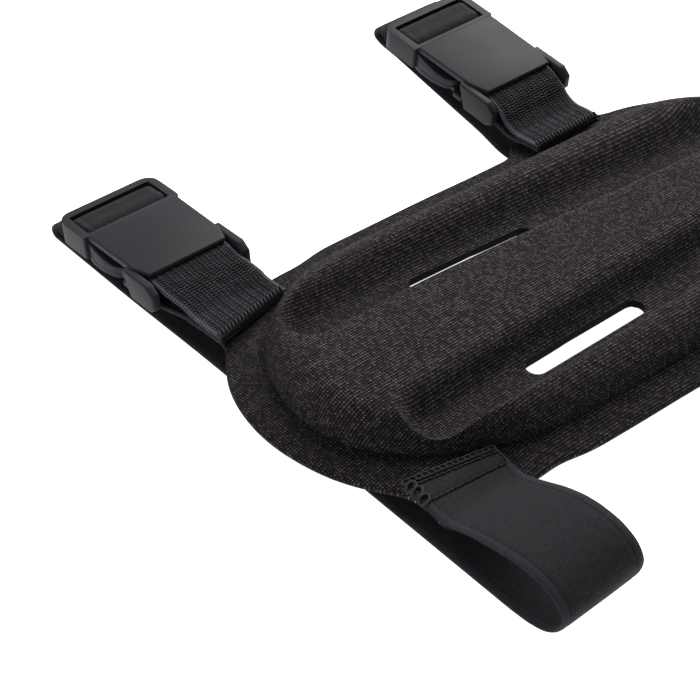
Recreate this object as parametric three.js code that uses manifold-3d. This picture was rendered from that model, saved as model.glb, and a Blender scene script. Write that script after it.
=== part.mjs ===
// Archery arm guard: a moulded foam pad with two elastic straps, each closed by a side-release buckle.
// Millimetres, +Z up, resting on z = 0. X runs along the pad and +Y points to the buckles.
import * as THREE from 'three';
import { mergeVertices } from 'three/addons/utils/BufferGeometryUtils.js';
import Module from 'manifold-3d';

const wasm = await Module();
wasm.setup();

// Pad outline: a long plate with half-round ends.
const PAD_LENGTH = 202.6;
const PAD_HALF_WIDTH = 49.5;
const PAD_STRAIGHT = PAD_LENGTH / 2 - PAD_HALF_WIDTH;
const FLANGE_WIDTH = 8.5;
const FLANGE_THICKNESS = 1.73;
const FLANGE_TOP = 8.2;
const FLANGE_DROOP = 1.77;
const FLANGE_EDGE_ROUND = 0.5;
const BODY_RADIUS = PAD_HALF_WIDTH - FLANGE_WIDTH;

// The flange is wider on the buckle side; the share of the outward direction where this starts and is full.
const SPREAD = 1.5;
const SPREAD_START = -0.3;
const SPREAD_FULL = 0.6;

// Raised body of the pad.
const SHOULDER_WIDTH = 7.5;
const SHOULDER_RISE = 9.1;
const SHOULDER_POWER = 1.9;
const PANEL_HALF_WIDTH = 15;
const PANEL_CROWN = 0.8;
const DISH_DEPTH = 3.6;
const DISH_RUN = 20;

// The pad swings off the straight past its near end: shift across for each millimetre along.
const SWING = 0.035;
const SWING_START_X = -45;
const SWING_SOFTNESS = 8;

// Long grooves: place across at the near end, own swing toward the far end, lean of the floor toward the
// panel, and the slot cut through the floor. The section gives the half width of a groove at each height.
const GROOVES = [
  { y: 23.2, swing: 0.075, floorLean: -2.6, slotShift: -3.6, slotWidth: 5.2 },
  { y: -23.8, swing: -0.005, floorLean: -0.9, slotShift: -0.9, slotWidth: 7.2 },
];
const GROOVE_END_X = 72.3;
const GROOVE_LIP_Z = 17.15;
const GROOVE_STEPS = 14;
const GROOVE_SECTION = [
  { half: 2.9, z: 11.2 },
  { half: 4.2, z: 11.5 },
  { half: 5.5, z: 12.4 },
  { half: 6.7, z: 13.9 },
  { half: 7.7, z: 15.5 },
  { half: 8.6, z: 16.5 },
  { half: 9.7, z: 17.15 },
  { half: 11, z: 18.2 },
  { half: 11.4, z: 20 },
];
const SLOT_CENTRE_X = -22;
const SLOT_LENGTH = 40;
const SLOT_CUT_HEIGHT = 30;

// Mesh fineness: steps along a straight side, round an end and round small curves, and the pad's rings
// from edge to spine.
const SIDE_STEPS = 16;
const END_STEPS = 30;
const WELD_DISTANCE = 1e-4;
const TAB_CURVE_STEPS = 6;
const SLOT_CURVE_STEPS = 8;
const TOP_RINGS = [41, 40.6, 39.8, 38.6, 37.4, 36, 34.5, 32.5, 30.5, 15, 11, 7, 3, 0];
const UNDER_RINGS = [41, 36.5, 32, 27, 21, 10, 0];

// Strap tabs of the flange, and the body drawn in beside the sewn ends of the elastic.
const TAB_BEND_Y = 41;
const TAB_END_Y = 47;
const TAB_SLOPE = 0.12;
const TAB_CORNER = 2.5;
const TAB_INSET = 0.1;
const TAB_THICKNESS = 1.8;
const WAIST_DEPTH = 3.6;
const WAIST_RUN = 20;
const WAIST_SHIFT = 8;
const WAIST_START_Y = 5;
const WAIST_FULL_Y = 25;
const WAIST_FULL_RADIUS = 34;

// The two straps: place along the pad, shift out from the middle on the buckle side and on the loop side,
// slant of the sewn ends, sideways sway of the webbing at its bar, degrees that the buckle side is lifted off
// the ground, and the tab under each sewn end.
const STRAPS = [
  {
    name: 'near', x: -78.5, outset: 0, loopOutset: 0, slant: 0.2, sway: -1.9, lift: 0,
    tabHalf: 9.8, tabFlare: 2, tabRoot: 26,
  },
  {
    name: 'far', x: 39.5, outset: 6, loopOutset: 9.5, slant: 0, sway: 0, lift: 12,
    tabHalf: 14, tabFlare: 5, tabRoot: 43,
  },
];
const LIFT_START_Y = 46;
const LIFT_RUN = 12;
const SWAY_START_Y = 44;
const SWAY_END_Y = 57;
const STRAP_WIDTH = 25;
const STRAP_THICKNESS = 1.1;

// Webbing on the buckle side: centre line from the sewn end to the web bar, upper layer and lower layer.
const WEBBING_UPPER = [
  { y: 36.9, z: 10.2 },
  { y: 42.6, z: 9.85 },
  { y: 46.5, z: 9.4 },
  { y: 50.5, z: 9.9 },
  { y: 54.5, z: 11.2 },
  { y: 58.5, z: 12.2 },
  { y: 61.5, z: 12.45 },
];
const WEBBING_LOWER = [
  { y: 60.5, z: 7.6 },
  { y: 56, z: 7.5 },
  { y: 51, z: 7.5 },
  { y: 46.5, z: 7.8 },
  { y: 42.6, z: 8.5 },
  { y: 36.9, z: 8.9 },
];

// Elastic on the other side: centre line of the loop from the sewn end down to the ground.
// Distances from the middle; lean is the rise of the edge toward the far end.
const ELASTIC_LOOP = [
  { out: 34.2, z: 9.05, lean: 0 },
  { out: 38, z: 8.65, lean: 0 },
  { out: 42, z: 8, lean: 0.1 },
  { out: 46, z: 7.7, lean: 0.3 },
  { out: 49.5, z: 8.7, lean: 0.6 },
  { out: 54, z: 10.5, lean: 1.2 },
  { out: 60, z: 12.6, lean: 1.9 },
  { out: 66, z: 14.1, lean: 2.1 },
  { out: 72, z: 14.6, lean: 1.9 },
  { out: 77.5, z: 13.8, lean: 1.5 },
  { out: 81.6, z: 11.7, lean: 1 },
  { out: 83.7, z: 8.4, lean: 0.5 },
  { out: 83, z: 4.9, lean: 0.2 },
  { out: 80.2, z: 2.1, lean: 0 },
  { out: 76, z: 0.8, lean: 0 },
  { out: 71, z: 0.55, lean: 0 },
];
const GROUND_RUN_STEP = 9;
const TAIL_LENGTH = 8;
const ARC_STEPS = 6;
const LINE_STEPS = 2;
const END_FOLD_Y = 105.6;
const END_FOLD_RADIUS = 1.75;

// Buckle: u runs from the webbing to the free end, v across, w up from the top plate.
const BUCKLE_Y = 61.3;
const BUCKLE_TOP = 15.4;
const BUCKLE_TILT = THREE.MathUtils.degToRad(6.5);
const PLATE_THICKNESS = 1.9;
const PLATE_SIDES = [
  { u: 0, half: 12.1 },
  { u: 6, half: 13.9 },
  { u: 27.3, half: 14.3 },
];
const BUCKLE_DEPTH = 8.4;
const UNDER_PLATE_THICKNESS = 1.8;
const UNDER_PLATE_SIDES = [
  { u: 8.6, half: 13.9 },
  { u: 12, half: 13.9 },
  { u: 13.2, half: 12.2 },
  { u: 27.3, half: 12.2 },
];
const EAR = { inner: 13.2, outer: 15.1 };
const EAR_PROFILE = [
  { u: -3.2, w: -4.5 },
  { u: -3.2, w: -6.6 },
  { u: 0, w: -8.4 },
  { u: 10, w: -8.4 },
  { u: 13, w: -1.3 },
  { u: 6.5, w: -1.3 },
];
const WEB_BAR = { start: 3.2, end: 6.2, top: -3.9, bottom: -6.3 };
const FRAME = { start: 27.6, end: 41, half: 15.5, top: -0.6, bottom: -7.1, corner: 4 };
const WINDOW = { start: 28.9, end: 36.6, half: 13, corner: 0.6 };
const FRAME_BAR = { start: 31.15, end: 34.35, top: -3, bottom: -4.9 };
const WRAP = { foot: -4.3, crest: -1.9, squareness: 0.6 };
const PRONG = { top: -2.2, bottom: -6.3 };
const PRONG_OUTLINE = [
  { u: 28.2, v: 9.2 },
  { u: 28.2, v: 14.2 },
  { u: 25.5, v: 14.9 },
  { u: 21.5, v: 14.7 },
  { u: 18, v: 13.6 },
  { u: 15.8, v: 12.4 },
  { u: 14.8, v: 11 },
  { u: 15.4, v: 9.2 },
];
const PRONG_SKIRT = { top: -6, bottom: -7.9 };
const PRONG_SKIRT_OUTLINE = [
  { u: 28.2, v: 12.6 },
  { u: 28.2, v: 14.2 },
  { u: 25.5, v: 14.9 },
  { u: 21.5, v: 14.7 },
  { u: 18, v: 13.6 },
  { u: 16.2, v: 12.6 },
];
const EDGE_ROUND = 0.4;
const STRAP_GAP = 0.35;

const FABRIC = new THREE.MeshStandardMaterial({ color: 0x18161a, roughness: 0.92, metalness: 0 });
const WEBBING = new THREE.MeshStandardMaterial({ color: 0x15161a, roughness: 0.85, metalness: 0 });
const ELASTIC = new THREE.MeshStandardMaterial({ color: 0x1d1e24, roughness: 0.8, metalness: 0 });
const PLASTIC = new THREE.MeshStandardMaterial({ color: 0x2a2b31, roughness: 0.45, metalness: 0 });

// Solids for the boolean cuts and joins.

function solid(geometry) {
  const bare = geometry.clone();
  bare.deleteAttribute('normal');
  bare.deleteAttribute('uv');
  const welded = mergeVertices(bare, WELD_DISTANCE);
  const mesh = new wasm.Mesh({
    numProp: 3,
    vertProperties: new Float32Array(welded.attributes.position.array),
    triVerts: new Uint32Array(welded.index.array),
  });
  return new wasm.Manifold(mesh);
}

function geometryOf(body) {
  const mesh = body.getMesh();
  const geometry = new THREE.BufferGeometry();
  geometry.setAttribute('position', new THREE.BufferAttribute(new Float32Array(mesh.vertProperties), 3));
  geometry.setIndex(new THREE.BufferAttribute(new Uint32Array(mesh.triVerts), 1));
  return geometry;
}

function joined(geometries) {
  return geometries.map(solid).reduce((all, next) => all.add(next));
}

function indexedGeometry(points, triangles) {
  const geometry = new THREE.BufferGeometry();
  geometry.setAttribute('position', new THREE.Float32BufferAttribute(points.flat(), 3));
  geometry.setIndex(triangles);
  return geometry;
}

// Pad.

function stadiumPoint(step, radius, straight, sideSteps, endSteps) {
  const perSide = sideSteps + endSteps;
  const half = step < perSide ? 1 : -1;
  const local = step % perSide;
  if (local < endSteps) {
    const angle = Math.PI * (local / endSteps - 0.5);
    return [half * (straight + radius * Math.cos(angle)), half * radius * Math.sin(angle)];
  }
  const along = (local - endSteps) / sideSteps;
  return [half * straight * (1 - 2 * along), half * radius];
}

// How far along the swung stretch of the pad a point is.
function swungRun(x) {
  return SWING_SOFTNESS * Math.log1p(Math.exp((x - SWING_START_X) / SWING_SOFTNESS));
}

function swung(geometry, swing) {
  const place = geometry.attributes.position;
  for (let i = 0; i < place.count; i += 1) {
    place.setY(i, place.getY(i) - swing * swungRun(place.getX(i)));
  }
  return geometry;
}

// Depth of the waist at a point of the plan, full at the foot of the body and gone at the middle panel.
function waist(x, y, radius) {
  if (radius > BODY_RADIUS) {
    return 0;
  }
  const side = THREE.MathUtils.smoothstep(-y, WAIST_START_Y, WAIST_FULL_Y);
  const near = STRAPS.map((strap) => Math.exp(-(((x - strap.x - WAIST_SHIFT) / WAIST_RUN) ** 2)));
  const share = THREE.MathUtils.smoothstep(radius, PANEL_HALF_WIDTH, WAIST_FULL_RADIUS);
  return WAIST_DEPTH * side * share * Math.max(...near);
}

// How far a point of the flange lies outside the plain outline.
function spread(y, radius) {
  if (radius <= BODY_RADIUS) {
    return 0;
  }
  const share = THREE.MathUtils.smoothstep(y / radius, SPREAD_START, SPREAD_FULL);
  return SPREAD * share * (radius - BODY_RADIUS) / FLANGE_WIDTH;
}

function topHeight(radius, y) {
  const inside = BODY_RADIUS - radius;
  if (inside <= 0) {
    return FLANGE_TOP + FLANGE_DROOP * inside / FLANGE_WIDTH;
  }
  const open = 1 - Math.min(inside / SHOULDER_WIDTH, 1);
  const rise = Math.pow(1 - Math.pow(open, SHOULDER_POWER), 1 / SHOULDER_POWER);
  const crown = PANEL_CROWN * Math.max(0, 1 - (y / PANEL_HALF_WIDTH) ** 2) * (1 - open);
  return FLANGE_TOP + SHOULDER_RISE * rise + crown;
}

function underHeight(radius) {
  const dish = DISH_DEPTH * THREE.MathUtils.smoothstep(BODY_RADIUS - radius, 0, DISH_RUN);
  return FLANGE_TOP - FLANGE_DROOP - FLANGE_THICKNESS + dish;
}

function padPlate() {
  const around = 2 * (SIDE_STEPS + END_STEPS);
  const inner = PAD_HALF_WIDTH - FLANGE_EDGE_ROUND;
  const rings = [
    ...UNDER_RINGS.toReversed().map((radius) => ({ radius, height: underHeight })),
    { radius: inner, height: underHeight },
    { radius: PAD_HALF_WIDTH, height: (radius) => underHeight(radius) + FLANGE_EDGE_ROUND },
    { radius: PAD_HALF_WIDTH, height: (radius, y) => topHeight(radius, y) - FLANGE_EDGE_ROUND },
    { radius: inner, height: topHeight },
    ...TOP_RINGS.map((radius) => ({ radius, height: topHeight, drawnIn: true })),
  ];
  const outlines = rings.map(({ radius, height, drawnIn }) => Array.from({ length: around }, (_, step) => {
    const [plainX, plainY] = stadiumPoint(step, radius, PAD_STRAIGHT, SIDE_STEPS, END_STEPS);
    const drawn = drawnIn ? radius - waist(plainX, plainY, radius) : radius + spread(plainY, radius);
    const [x, y] = stadiumPoint(step, drawn, PAD_STRAIGHT, SIDE_STEPS, END_STEPS);
    return [x, y, height(radius, y)];
  }));
  return swung(loftRings(outlines), SWING);
}

function grooveCutter(groove) {
  const around = 2 * (SIDE_STEPS + GROOVE_STEPS);
  const floor = { half: 0, z: GROOVE_SECTION[0].z };
  const lid = { half: 0, z: GROOVE_SECTION.at(-1).z };
  const section = [floor, ...GROOVE_SECTION, lid];
  const cutter = loftRings(section.map((row) => Array.from({ length: around }, (_, step) => {
    const [x, y] = stadiumPoint(step, row.half, GROOVE_END_X, SIDE_STEPS, GROOVE_STEPS);
    const depth = THREE.MathUtils.clamp((GROOVE_LIP_Z - row.z) / (GROOVE_LIP_Z - floor.z), 0, 1);
    return [x, y + groove.floorLean * depth, row.z];
  })));
  return swung(cutter.translate(0, groove.y, 0), groove.swing);
}

function loftRings(rings) {
  const around = rings[0].length;
  const triangles = [];
  for (let ring = 0; ring + 1 < rings.length; ring += 1) {
    for (let step = 0; step < around; step += 1) {
      const a = ring * around + step;
      const b = ring * around + (step + 1) % around;
      triangles.push(a, b, b + around, a, b + around, a + around);
    }
  }
  return dropSlivers(mergeVertices(indexedGeometry(rings.flat(), triangles), WELD_DISTANCE));
}

function dropSlivers(geometry) {
  const index = geometry.index.array;
  const kept = [];
  for (let i = 0; i < index.length; i += 3) {
    const [a, b, c] = [index[i], index[i + 1], index[i + 2]];
    if (a !== b && b !== c && c !== a) {
      kept.push(a, b, c);
    }
  }
  geometry.setIndex(kept);
  return geometry;
}

function tabPlate(strap, side) {
  const out = side > 0 ? strap.outset : strap.loopOutset;
  const end = TAB_END_Y + out;
  const bend = TAB_BEND_Y + out;
  const root = strap.tabRoot - side * SWING * swungRun(strap.x);
  const half = strap.tabHalf;
  const foot = half + strap.tabFlare;
  const shape = new THREE.Shape();
  shape.moveTo(-foot, root);
  shape.quadraticCurveTo(-half, bend, -half, end - TAB_CORNER);
  shape.quadraticCurveTo(-half, end, -half + TAB_CORNER, end);
  shape.lineTo(half - TAB_CORNER, end);
  shape.quadraticCurveTo(half, end, half, end - TAB_CORNER);
  shape.quadraticCurveTo(half, bend, foot, root);
  const settings = { depth: TAB_THICKNESS, bevelEnabled: false, curveSegments: TAB_CURVE_STEPS };
  const tab = new THREE.ExtrudeGeometry(shape, settings);
  const floor = FLANGE_TOP - FLANGE_DROOP - FLANGE_THICKNESS + TAB_INSET;
  const place = tab.attributes.position;
  for (let i = 0; i < place.count; i += 1) {
    const drop = TAB_SLOPE * Math.max(0, place.getY(i) - bend);
    place.setZ(i, place.getZ(i) + floor - drop);
  }
  return tab.rotateZ(side > 0 ? 0 : Math.PI).translate(strap.x, 0, 0);
}

function slotCutter({ y, swing, slotShift, slotWidth }) {
  const half = (SLOT_LENGTH - slotWidth) / 2;
  const shape = new THREE.Shape();
  shape.absarc(half, 0, slotWidth / 2, -Math.PI / 2, Math.PI / 2, false);
  shape.absarc(-half, 0, slotWidth / 2, Math.PI / 2, 1.5 * Math.PI, false);
  const settings = { depth: SLOT_CUT_HEIGHT, bevelEnabled: false, curveSegments: SLOT_CURVE_STEPS };
  const cutter = new THREE.ExtrudeGeometry(shape, settings);
  return swung(cutter.translate(SLOT_CENTRE_X, y + slotShift, 0), swing);
}

function padGeometry() {
  const sides = [1, -1];
  const tabs = STRAPS.flatMap((strap) => sides.map((side) => tabPlate(strap, side)));
  const cutters = [...GROOVES.map(grooveCutter), ...GROOVES.map(slotCutter)];
  const whole = joined([padPlate(), ...tabs]);
  return geometryOf(cutters.reduce((body, cutter) => body.subtract(solid(cutter)), whole));
}

// Straps: a flat band swept along a centre line in the Y-Z plane.

function smoothLine(rows) {
  const curve = new THREE.CatmullRomCurve3(rows.map((row) => new THREE.Vector3(row.lean ?? 0, row.y, row.z)));
  const line = curve.getPoints(LINE_STEPS * (rows.length - 1));
  return line.map((point) => point.setZ(Math.max(point.z, STRAP_THICKNESS / 2)));
}

// The buckle side of a strap turns up off the ground beyond the tab.
function lifted(row, strap) {
  const start = LIFT_START_Y + strap.outset;
  const share = THREE.MathUtils.smoothstep(row.y, start, start + LIFT_RUN);
  const angle = THREE.MathUtils.degToRad(strap.lift) * share;
  const out = row.y - start;
  return {
    y: start + out * Math.cos(angle) - row.z * Math.sin(angle),
    z: out * Math.sin(angle) + row.z * Math.cos(angle),
    lean: row.lean,
  };
}

function band(line, strap, { sway, slantAtStart, slantAtEnd }) {
  const points = [];
  const triangles = [];
  const last = line.length - 1;
  line.forEach((point, i) => {
    const before = line[Math.max(i - 1, 0)];
    const after = line[Math.min(i + 1, last)];
    const run = Math.hypot(after.y - before.y, after.z - before.z);
    const offY = -(after.z - before.z) / run * STRAP_THICKNESS / 2;
    const offZ = (after.y - before.y) / run * STRAP_THICKNESS / 2;
    const slant = i === 0 ? slantAtStart : i === last ? slantAtEnd : 0;
    const share = THREE.MathUtils.smoothstep(point.y, SWAY_START_Y, SWAY_END_Y);
    for (const [edge, face] of [[-1, -1], [1, -1], [1, 1], [-1, 1]]) {
      const across = edge * STRAP_WIDTH / 2;
      const y = point.y + face * offY + slant * across;
      const z = point.z + face * offZ + edge * point.x;
      points.push([strap.x + sway * share + across, y, z]);
    }
    if (i > 0) {
      const base = 4 * i;
      for (let corner = 0; corner < 4; corner += 1) {
        const next = (corner + 1) % 4;
        triangles.push(base - 4 + corner, base + corner, base + next);
        triangles.push(base - 4 + corner, base + next, base - 4 + next);
      }
    }
  });
  const end = 4 * last;
  triangles.push(0, 1, 2, 0, 2, 3, end, end + 2, end + 1, end, end + 3, end + 2);
  return indexedGeometry(points, triangles);
}

function buckleRow(u, w, strap) {
  const y = BUCKLE_Y + strap.outset + u * Math.cos(BUCKLE_TILT) + w * Math.sin(BUCKLE_TILT);
  const z = BUCKLE_TOP - u * Math.sin(BUCKLE_TILT) + w * Math.cos(BUCKLE_TILT);
  return { y, z };
}

function arcRows(centreU, centreW, radius, fromDegrees, toDegrees, strap) {
  return Array.from({ length: ARC_STEPS + 1 }, (_, i) => {
    const angle = THREE.MathUtils.degToRad(fromDegrees + (toDegrees - fromDegrees) * i / ARC_STEPS);
    return buckleRow(centreU + radius * Math.cos(angle), centreW + radius * Math.sin(angle), strap);
  });
}

// The elastic over the frame's cross bar, from one gap of the window to the other.
function wrapRows(strap) {
  const outer = (FRAME_BAR.end + WINDOW.end) / 2;
  const inner = (FRAME_BAR.start + WINDOW.start) / 2;
  return Array.from({ length: ARC_STEPS + 1 }, (_, i) => {
    const angle = Math.PI * i / ARC_STEPS;
    const across = Math.sign(Math.cos(angle)) * Math.abs(Math.cos(angle)) ** WRAP.squareness;
    const rise = Math.sin(angle) ** WRAP.squareness;
    const u = (outer + inner) / 2 + across * (outer - inner) / 2;
    return buckleRow(u, WRAP.foot + rise * (WRAP.crest - WRAP.foot), strap);
  });
}

function webbingGeometry(strap) {
  const outward = (row) => ({ y: row.y + strap.outset, z: row.z });
  const middle = (WEB_BAR.top + WEB_BAR.bottom) / 2;
  const radius = (WEB_BAR.top - WEB_BAR.bottom) / 2 + STRAP_GAP + STRAP_THICKNESS / 2;
  const centreU = WEB_BAR.end + STRAP_GAP + STRAP_THICKNESS / 2 - radius;
  const wrap = arcRows(centreU, middle, radius, 90, -90, strap);
  const rows = [...WEBBING_UPPER.map(outward), ...wrap, ...WEBBING_LOWER.map(outward)];
  const ends = { sway: strap.sway, slantAtStart: strap.slant, slantAtEnd: strap.slant };
  return band(smoothLine(rows.map((row) => lifted(row, strap))), strap, ends);
}

function elasticGeometry(strap) {
  const half = STRAP_THICKNESS / 2;
  const loop = ELASTIC_LOOP.map((row) => ({ y: -row.out - strap.loopOutset, z: row.z, lean: row.lean }));
  const from = loop.at(-1).y;
  const to = END_FOLD_Y + strap.outset;
  const steps = Math.round((to - from) / GROUND_RUN_STEP);
  const ground = Array.from({ length: steps - 1 }, (_, i) => {
    const along = (i + 1) / steps;
    return { y: from + (to - from) * along, z: half };
  });
  const fold = Array.from({ length: ARC_STEPS + 1 }, (_, i) => {
    const angle = Math.PI * (i / ARC_STEPS - 0.5);
    return { y: to + END_FOLD_RADIUS * Math.cos(angle), z: half + END_FOLD_RADIUS * (1 + Math.sin(angle)) };
  });
  const under = FRAME.bottom - STRAP_GAP - half;
  const slotOuter = (FRAME_BAR.end + WINDOW.end) / 2;
  const slotInner = (FRAME_BAR.start + WINDOW.start) / 2;
  const tail = -BUCKLE_DEPTH - STRAP_GAP - half;
  const threaded = [
    buckleRow(FRAME.end, under, strap),
    buckleRow(WINDOW.end + half, under, strap),
    buckleRow(slotOuter, FRAME.bottom + half, strap),
    ...wrapRows(strap),
    buckleRow(slotInner, FRAME.bottom + half, strap),
    buckleRow(FRAME.start + half, tail + half, strap),
    buckleRow(FRAME.start - TAIL_LENGTH / 2, tail, strap),
    buckleRow(FRAME.start - TAIL_LENGTH, tail, strap),
  ];
  const rows = [...loop, ...ground, ...fold, ...threaded];
  const ends = { sway: 0, slantAtStart: -strap.slant, slantAtEnd: 0 };
  return band(smoothLine(rows.map((row) => lifted(row, strap))), strap, ends);
}

// Buckle halves.

function plate(outline, bottom, top, hole) {
  const shape = new THREE.Shape(outline.map(([v, u]) => new THREE.Vector2(v, u)));
  if (hole) {
    shape.holes.push(new THREE.Path(hole.map(([v, u]) => new THREE.Vector2(v, u))));
  }
  const block = new THREE.ExtrudeGeometry(shape, {
    depth: top - bottom - 2 * EDGE_ROUND,
    bevelSize: EDGE_ROUND,
    bevelOffset: -EDGE_ROUND,
    bevelThickness: EDGE_ROUND,
    bevelSegments: 2,
  });
  return block.translate(0, 0, bottom + EDGE_ROUND);
}

function roundedOutline({ start, end, halfStart, halfEnd, cornerStart, cornerEnd }) {
  const corners = [
    { v: -halfStart, u: start, corner: cornerStart, dv: 1, du: 1 },
    { v: halfStart, u: start, corner: cornerStart, dv: -1, du: 1 },
    { v: halfEnd, u: end, corner: cornerEnd, dv: -1, du: -1 },
    { v: -halfEnd, u: end, corner: cornerEnd, dv: 1, du: -1 },
  ];
  return corners.flatMap(({ v, u, corner, dv, du }, i) => {
    const alongU = [v, u + du * corner];
    const alongV = [v + dv * corner, u];
    const cut = 1 - Math.SQRT1_2;
    const middle = [v + dv * corner * cut, u + du * corner * cut];
    return i % 2 === 0 ? [alongU, middle, alongV] : [alongV, middle, alongU];
  });
}

function sidesOutline(rows) {
  const right = rows.map(({ u, half }) => [half, u]);
  const left = rows.toReversed().map(({ u, half }) => [-half, u]);
  return [...right, ...left];
}

// An ear: its profile in u and w stands upright, from vMin to vMax.
function ear(vMin, vMax) {
  const upright = new THREE.Matrix4().set(0, 0, 1, 0, 1, 0, 0, 0, 0, 1, 0, 0, 0, 0, 0, 1);
  return plate(EAR_PROFILE.map(({ u, w }) => [u, w]), vMin, vMax).applyMatrix4(upright);
}

function block(vMin, vMax, uMin, uMax, bottom, top) {
  return plate([[vMin, uMin], [vMax, uMin], [vMax, uMax], [vMin, uMax]], bottom, top);
}

// The sides lean, so that the frame comes back over the strap's middle line.
function placeBuckle(body, strap) {
  const start = LIFT_START_Y + strap.outset;
  const lean = -strap.sway / ((WINDOW.start + WINDOW.end) / 2);
  const geometry = geometryOf(body);
  geometry.applyMatrix4(new THREE.Matrix4().makeShear(0, 0, lean, 0, 0, 0));
  geometry.rotateX(-BUCKLE_TILT);
  geometry.translate(strap.x + strap.sway, BUCKLE_Y + strap.outset - start, BUCKLE_TOP);
  geometry.rotateX(THREE.MathUtils.degToRad(strap.lift));
  return geometry.translate(0, start, 0);
}

function socketGeometry(strap) {
  const reach = EAR.inner + EDGE_ROUND;
  const pieces = [
    plate(sidesOutline(PLATE_SIDES), -PLATE_THICKNESS, 0),
    plate(sidesOutline(UNDER_PLATE_SIDES), -BUCKLE_DEPTH, -BUCKLE_DEPTH + UNDER_PLATE_THICKNESS),
    ear(EAR.inner, EAR.outer),
    ear(-EAR.outer, -EAR.inner),
    block(-reach, reach, WEB_BAR.start, WEB_BAR.end, WEB_BAR.bottom, WEB_BAR.top),
  ];
  return placeBuckle(joined(pieces), strap);
}

function plugGeometry(strap) {
  const frameSides = { halfStart: FRAME.half, halfEnd: FRAME.half };
  const outer = roundedOutline({ ...FRAME, ...frameSides, cornerStart: EDGE_ROUND, cornerEnd: FRAME.corner });
  const windowSides = { halfStart: WINDOW.half, halfEnd: WINDOW.half };
  const { corner } = WINDOW;
  const hole = roundedOutline({ ...WINDOW, ...windowSides, cornerStart: corner, cornerEnd: corner });
  const onSide = (outline, side) => outline.map(({ u, v }) => [side * v, u]);
  const prong = (side) => [
    plate(onSide(PRONG_OUTLINE, side), PRONG.bottom, PRONG.top),
    plate(onSide(PRONG_SKIRT_OUTLINE, side), PRONG_SKIRT.bottom, PRONG_SKIRT.top),
  ];
  const reach = WINDOW.half + EDGE_ROUND;
  const pieces = [
    plate(outer, FRAME.bottom, FRAME.top, hole),
    block(-reach, reach, FRAME_BAR.start, FRAME_BAR.end, FRAME_BAR.bottom, FRAME_BAR.top),
    ...prong(1),
    ...prong(-1),
  ];
  return placeBuckle(joined(pieces), strap);
}

// Assembly, moved so that the middle of its box stands over the origin.

function part(name, geometry, material) {
  const flat = geometry.toNonIndexed();
  flat.computeVertexNormals();
  const mesh = new THREE.Mesh(flat, material);
  mesh.name = name;
  return mesh;
}

const guard = new THREE.Group();
guard.name = 'arm_guard';
guard.add(part('pad', padGeometry(), FABRIC));
for (const strap of STRAPS) {
  guard.add(part(`${strap.name}_webbing`, webbingGeometry(strap), WEBBING));
  guard.add(part(`${strap.name}_buckle_socket`, socketGeometry(strap), PLASTIC));
  guard.add(part(`${strap.name}_buckle_plug`, plugGeometry(strap), PLASTIC));
  guard.add(part(`${strap.name}_elastic`, elasticGeometry(strap), ELASTIC));
}
const middle = new THREE.Box3().setFromObject(guard).getCenter(new THREE.Vector3());
for (const mesh of guard.children) {
  mesh.geometry.translate(-middle.x, -middle.y, 0);
}

export default guard;
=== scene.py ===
import math

import bmesh
import bpy
import numpy as np
from mathutils import Matrix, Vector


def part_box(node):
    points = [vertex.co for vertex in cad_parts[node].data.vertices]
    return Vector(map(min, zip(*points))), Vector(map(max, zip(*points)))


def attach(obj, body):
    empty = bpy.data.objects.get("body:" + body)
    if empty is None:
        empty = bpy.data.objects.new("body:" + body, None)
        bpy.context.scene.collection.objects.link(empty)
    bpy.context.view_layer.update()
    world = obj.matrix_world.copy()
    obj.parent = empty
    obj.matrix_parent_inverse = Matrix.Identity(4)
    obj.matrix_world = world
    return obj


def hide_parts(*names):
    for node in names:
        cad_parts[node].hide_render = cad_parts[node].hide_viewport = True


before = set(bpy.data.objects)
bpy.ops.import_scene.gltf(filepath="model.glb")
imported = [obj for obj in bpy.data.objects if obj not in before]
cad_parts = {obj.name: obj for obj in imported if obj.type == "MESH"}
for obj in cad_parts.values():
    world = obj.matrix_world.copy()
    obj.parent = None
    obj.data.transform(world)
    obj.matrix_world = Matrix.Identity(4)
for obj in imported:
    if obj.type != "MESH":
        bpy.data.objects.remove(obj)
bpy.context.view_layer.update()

# Setting: a plain white table top under soft studio lamps. The view looks down over the near end of the pad
# with a long lens. Places are in millimetres from the pad's middle line, which the far tab passes by 53 mm.
MM = 0.001
FAR_TAB_END = 53.0
PAD_MIDDLE_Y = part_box("pad")[1][1] / MM - FAR_TAB_END
VIEW_TARGET = (-65.08, 15.46 + PAD_MIDDLE_Y, 5.0)
VIEW_TURN = math.radians(40.39)
VIEW_DOWN = math.radians(40.57)
VIEW_DISTANCE = 487.03
VIEW_LENS = 100.44
FILM_WIDTH = 36
TABLE_SIZE = 8
TABLE_WHITE = (0.93, 0.93, 0.93, 1)
TABLE_GLOW = 1.05
AIR_STRENGTH = 0.06
LAMPS = [
    # name, turn round the guard and height over it in degrees, distance and size in metres, watts
    ("key_softbox", 62, 38, 1.5, 1.1, 31),
    ("back_softbox", 5, 45, 1.5, 1.0, 6),
    ("low_fill", -100, 18, 1.5, 1.0, 5.5),
]

bpy.ops.object.select_all(action="DESELECT")
bpy.ops.mesh.primitive_plane_add(size=TABLE_SIZE)
floor = bpy.context.object
floor.name = "table_top"
table = bpy.data.materials.new("white_table")
table.use_nodes = True
table_shader = table.node_tree.nodes["Principled BSDF"]
table_shader.inputs["Base Color"].default_value = TABLE_WHITE
table_shader.inputs["Roughness"].default_value = 0.9
table_shader.inputs["Specular IOR Level"].default_value = 0.1
table_shader.inputs["Emission Color"].default_value = (1, 1, 1, 1)
table_shader.inputs["Emission Strength"].default_value = TABLE_GLOW
floor.data.materials.append(table)

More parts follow.
